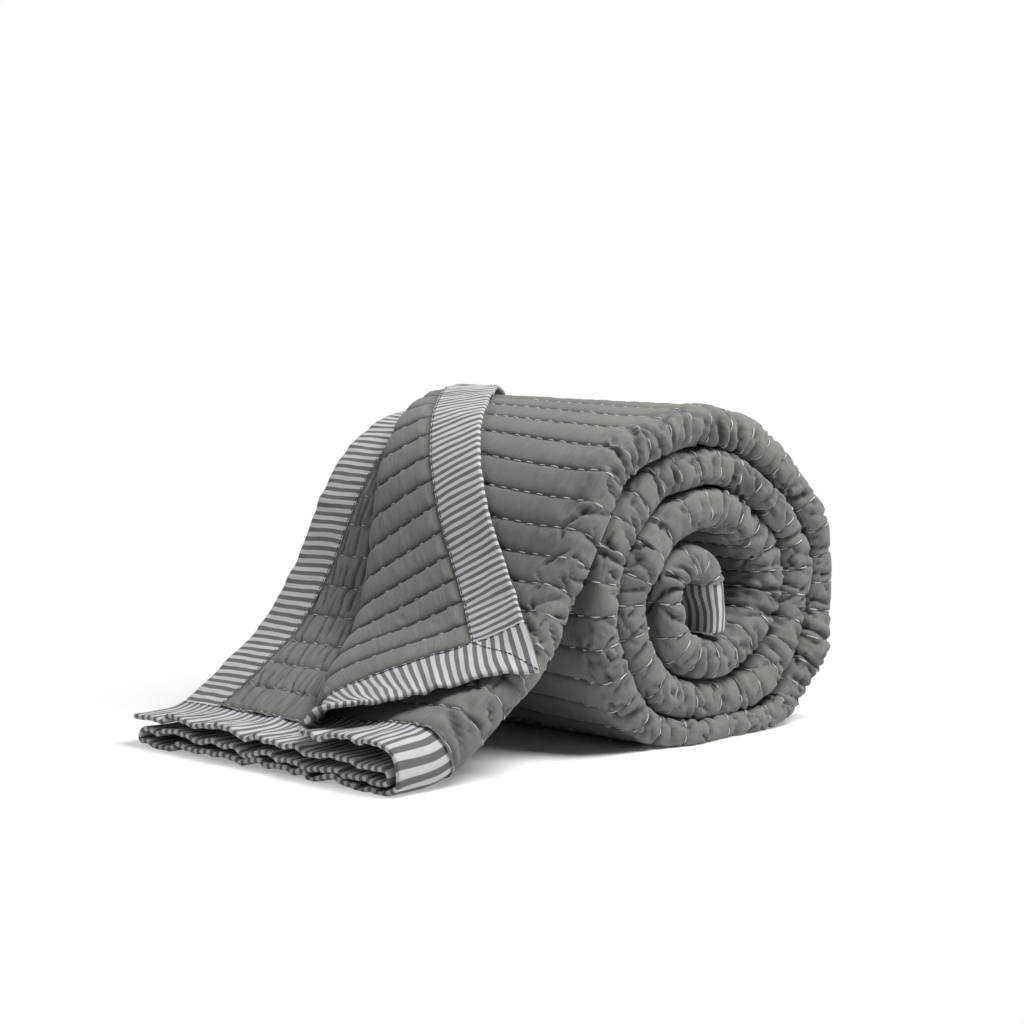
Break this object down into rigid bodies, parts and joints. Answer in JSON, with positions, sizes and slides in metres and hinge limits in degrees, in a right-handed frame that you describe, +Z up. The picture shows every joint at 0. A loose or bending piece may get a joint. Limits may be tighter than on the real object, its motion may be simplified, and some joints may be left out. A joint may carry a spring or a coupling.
{
  "type": "rolled quilted throw blanket",
  "caption": "Quilted throw blanket with a striped border, folded lengthwise in layers and rolled up, its loose end hanging off the roll with one corner turned back.",
  "frame": {"origin": "bottom centre of the whole, on the surface that the roll stands on", "axes": "+X along the folded strip, from the loose end towards the roll; +Y along the roll, from its front spiral face to its back; +Z up"},
  "size_m": [0.5532, 0.402, 0.3089],
  "materials": {
    "quilted_cotton": "matt grey-green cotton, quilted in running-stitch channels with pale thread",
    "striped_border": "matt cotton ticking in light and dark grey stripes, sewn on as a border"
  },
  "bodies": {
    "root": {"quilt_panel": "quilted_cotton", "side_border_second_layer": "striped_border", "side_border_upper_layer": "striped_border", "end_border_loose": "striped_border", "end_border_inner": "striped_border"}
  },
  "joints": []
}
